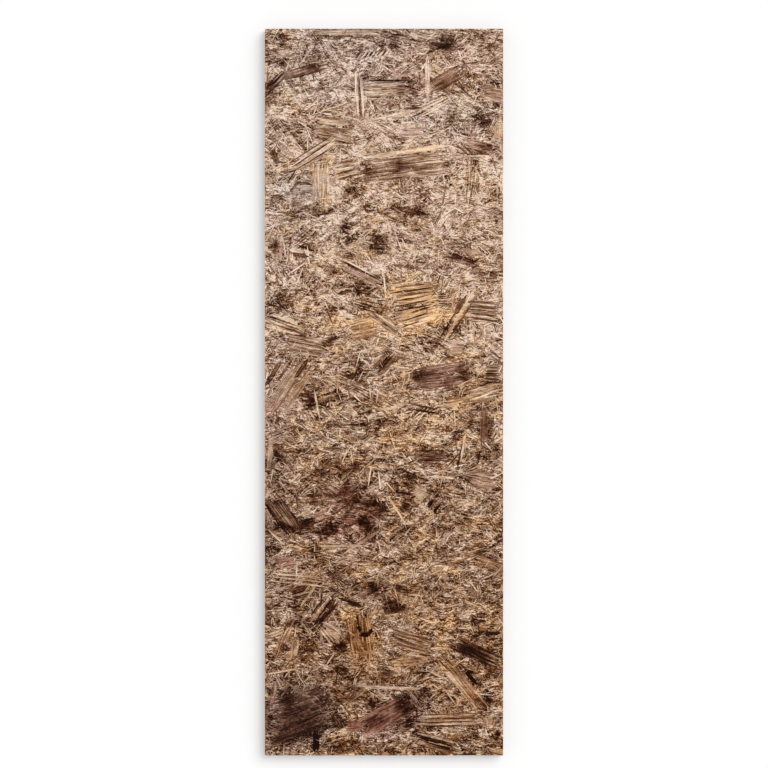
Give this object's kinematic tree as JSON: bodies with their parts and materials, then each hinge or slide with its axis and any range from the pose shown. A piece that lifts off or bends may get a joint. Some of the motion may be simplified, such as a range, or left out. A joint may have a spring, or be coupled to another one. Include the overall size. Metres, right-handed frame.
{
  "type": "charred osb panel",
  "caption": "Rectangular oriented strand board panel with square sawn edges and a charred, wire-brushed strand face.",
  "frame": {"origin": "centre of the flat back face, which is the centre of the bottom of the box", "axes": "+X across the panel, along most of the surface strands; +Y along the panel's length; +Z through the thickness, out of the charred face"},
  "size_m": [0.4, 1.22, 0.018],
  "materials": {
    "charred_osb": "matte"
  },
  "bodies": {
    "root": {"panel": "charred_osb"}
  },
  "joints": []
}
